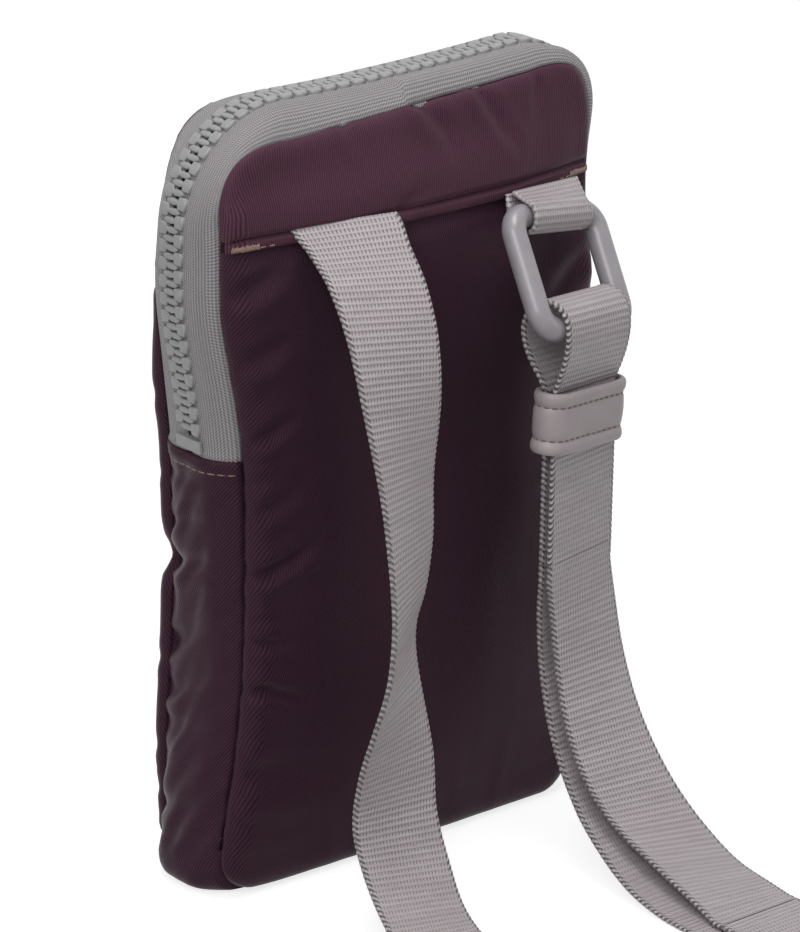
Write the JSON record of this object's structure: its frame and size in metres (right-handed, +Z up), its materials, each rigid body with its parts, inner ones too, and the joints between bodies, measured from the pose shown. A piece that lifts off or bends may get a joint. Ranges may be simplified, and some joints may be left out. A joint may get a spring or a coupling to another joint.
{
  "type": "phone pouch",
  "caption": "Small padded upright phone pouch with a wrap-round zip, a slip pocket on its back and a webbing crossbody strap on a ring.",
  "frame": {"origin": "centre of the base, between the front and back seams, where the pouch stands", "axes": "+Z up from the base to the zip, the strap side faces -Y, +X to the right seen from the strap side"},
  "size_m": [0.1273, 0.194, 0.1919],
  "materials": {
    "cloth": "satin twill",
    "lining": "matt",
    "foam": "matt",
    "zip_tape": "woven",
    "zip_teeth": "moulded",
    "grey_metal": "satin",
    "webbing": "woven, slight sheen",
    "leather": "smooth"
  },
  "bodies": {
    "pouch": {"front_panel": "cloth", "back_panel": "cloth", "pocket_panel": "cloth", "back_yoke": "cloth", "side_gusset": "cloth", "front_padding": "foam", "back_padding": "foam", "lining": "lining", "zip_tape_back": "zip_tape", "zip_tape_front": "zip_tape", "zip_teeth_back": "zip_teeth", "zip_teeth_front": "zip_teeth", "zip_stops": "zip_teeth", "ring_tab": "webbing", "strap_left": "webbing", "strap_right_outer": "webbing", "strap_right_inner": "webbing", "strap_floor_outer": "webbing", "strap_floor_inner": "webbing", "strap_floor_single": "webbing", "strap_stack": "webbing"},
    "slider": {"zip_slider": "grey_metal"},
    "puller": {"zip_puller": "grey_metal"},
    "ring": {"strap_ring": "grey_metal", "strap_fold": "webbing"},
    "keeper": {"strap_keeper": "leather"},
    "adjuster": {"strap_adjuster": "grey_metal", "strap_pass": "webbing", "strap_sewn_end": "webbing"}
  },
  "joints": [
    {"name": "zip_slide", "type": "slide", "parent": "pouch", "child": "slider", "axis": [0, 0, 1], "range_m": [0, 0.044]},
    {"name": "puller_swing", "type": "hinge", "parent": "slider", "child": "puller", "pos_m": [0.06385, 0, 0.1196], "axis": [0, -1, 0], "range_deg": [0, 150]},
    {"name": "ring_swing", "type": "hinge", "parent": "pouch", "child": "ring", "pos_m": [0.034, -0.02313, 0.1548], "axis": [-0.9647, -0.2051, 0.165], "range_deg": [-8, 60], "deforming": ["strap_right_outer", "strap_right_inner"]},
    {"name": "keeper_slide", "type": "slide", "parent": "ring", "child": "keeper", "axis": [0, 0, -1], "range_m": [0, 0.024]},
    {"name": "adjuster_slide", "type": "slide", "parent": "pouch", "child": "adjuster", "axis": [0, 1, 0], "range_m": [-0.004, 0.016], "deforming": ["strap_floor_outer", "strap_floor_inner", "strap_floor_single"]}
  ]
}
